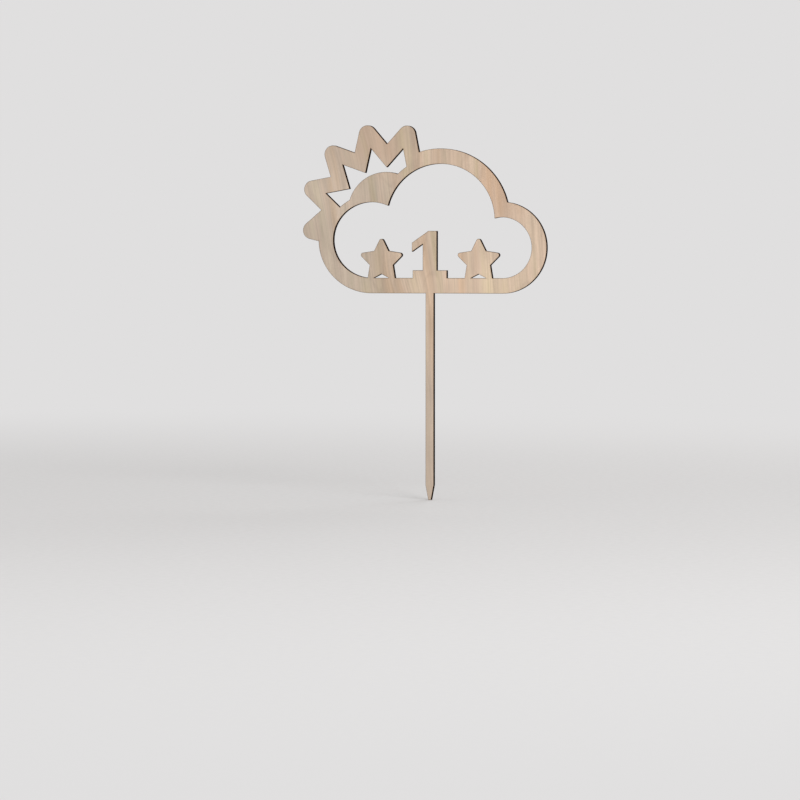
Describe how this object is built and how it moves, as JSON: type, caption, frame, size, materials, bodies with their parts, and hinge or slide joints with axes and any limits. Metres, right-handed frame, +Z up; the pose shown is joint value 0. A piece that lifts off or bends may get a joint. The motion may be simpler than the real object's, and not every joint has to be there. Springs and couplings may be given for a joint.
{
  "type": "cake topper",
  "caption": "Flat laser-cut plywood cake topper: a cloud frame with a rayed sun behind its shoulder, a numeral between stars on its bar, and a pointed stick that is pushed into a cake.",
  "frame": {"origin": "on the stick's axis, in the middle of the sheet's thickness, at the level of the cake's surface", "axes": "+X to the right seen from the front, +Y to the back through the sheet, +Z up along the stick"},
  "size_m": [0.1504, 0.0032, 0.2233],
  "materials": {
    "face_veneer": "bare pale wood veneer with upright grain, lightly sanded, charred on the cut edges",
    "core_ply": "bare wood with grain across, charred on the cut edges",
    "glue_line": "cured dark resin film"
  },
  "bodies": {
    "root": {"front_veneer": "face_veneer", "front_glue_line": "glue_line", "core_ply": "core_ply", "rear_glue_line": "glue_line", "rear_veneer": "face_veneer"}
  },
  "joints": []
}
